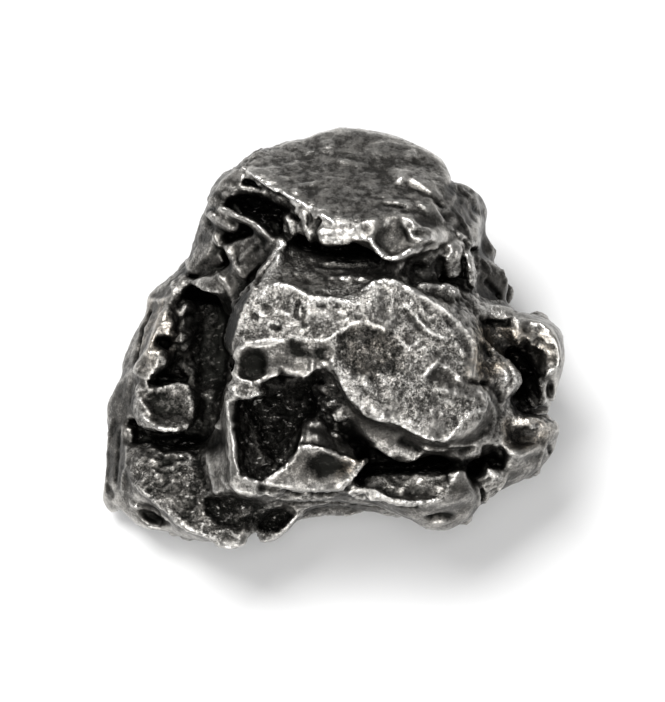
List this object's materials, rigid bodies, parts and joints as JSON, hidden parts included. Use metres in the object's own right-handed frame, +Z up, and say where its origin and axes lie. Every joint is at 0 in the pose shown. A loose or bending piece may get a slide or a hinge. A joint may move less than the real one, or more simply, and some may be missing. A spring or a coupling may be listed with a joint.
{
  "type": "iron meteorite",
  "caption": "Small iron meteorite: one solid lump of blocky plates with a pitted face, deep hollows, ledges and rounded bright rims.",
  "frame": {"origin": "middle of the stone's footprint, on the surface that it rests on", "axes": "+Z up, +X to the right as the pitted face is seen from the front, +Y to the back"},
  "size_m": [0.0473, 0.0423, 0.0284],
  "materials": {
    "iron": "bare nickel-iron, near black in the hollows and brushed bright on the rims and high places"
  },
  "bodies": {
    "root": {"meteorite": "iron"}
  },
  "joints": []
}
